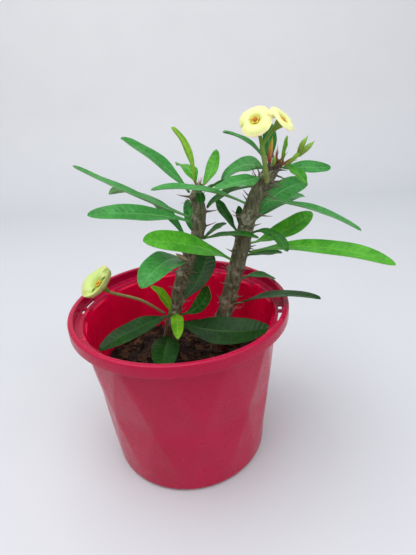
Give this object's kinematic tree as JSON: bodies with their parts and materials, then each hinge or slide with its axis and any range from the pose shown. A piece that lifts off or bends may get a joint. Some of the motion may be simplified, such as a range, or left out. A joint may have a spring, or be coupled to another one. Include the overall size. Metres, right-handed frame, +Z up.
{
  "type": "potted crown of thorns plant",
  "caption": "Spiny crown of thorns plant with long glossy leaves and pale yellow flowers, standing in a faceted red plastic nursery pot.",
  "frame": {"origin": "middle of the pot's flat underside, on the pot's own axis", "axes": "+Z up along the pot's axis; -Y towards the side the low leaves and the larger low flower's stalk are seen from; +X towards the taller stem"},
  "size_m": [0.2184, 0.1598, 0.2571],
  "materials": {
    "pot": "satin",
    "soil": "rough bark chips and coir",
    "bark": "rough, ridged",
    "leaf": "satin, waxy",
    "young_leaf": "satin, waxy",
    "bract": "soft matte",
    "cup": "satin",
    "stalk": "satin",
    "dry_leaf": "dry, matte"
  },
  "bodies": {
    "root": {"bud_pair": "stalk", "dried_scrap": "dry_leaf", "left_leaf_01": "leaf", "left_leaf_02": "leaf", "left_leaf_03": "leaf", "left_leaf_04": "leaf", "left_leaf_05": "leaf", "left_leaf_06": "leaf", "left_leaf_07": "leaf", "left_leaf_08": "leaf", "left_leaf_09": "leaf", "left_leaf_10": "leaf", "left_leaf_11": "leaf", "left_leaf_12": "leaf", "left_leaf_13": "leaf", "left_leaf_14": "leaf", "left_leaf_15": "leaf", "left_leaf_16": "leaf", "left_stem": "bark", "low_flower_bract_lower": "bract", "low_flower_bract_upper": "bract", "low_flower_cup": "cup", "low_flower_stalk": "stalk", "main_leaf_01": "leaf", "main_leaf_02": "leaf", "main_leaf_03": "leaf", "main_leaf_04": "leaf", "main_leaf_05": "leaf", "main_leaf_06": "leaf", "main_leaf_07": "leaf", "main_leaf_08": "leaf", "main_leaf_09": "leaf", "main_leaf_10": "leaf", "main_leaf_11": "leaf", "main_leaf_12": "leaf", "main_leaf_13": "leaf", "main_leaf_14": "leaf", "main_leaf_15": "leaf", "main_leaf_16": "leaf", "main_leaf_17": "leaf", "main_leaf_18": "leaf", "main_leaf_19": "leaf", "main_leaf_20": "leaf", "main_leaf_21": "leaf", "main_stem": "bark", "pot": "pot", "shoot_leaf_01": "young_leaf", "shoot_leaf_02": "young_leaf", "shoot_leaf_03": "leaf", "shoot_leaf_04": "leaf", "soil": "soil", "top_flower_stalk": "stalk", "top_left_flower_bract_lower": "bract", "top_left_flower_bract_upper": "bract", "top_left_flower_cup": "cup", "top_right_flower_bract_lower": "bract", "top_right_flower_bract_upper": "bract", "top_right_flower_cup": "cup"}
  },
  "joints": []
}
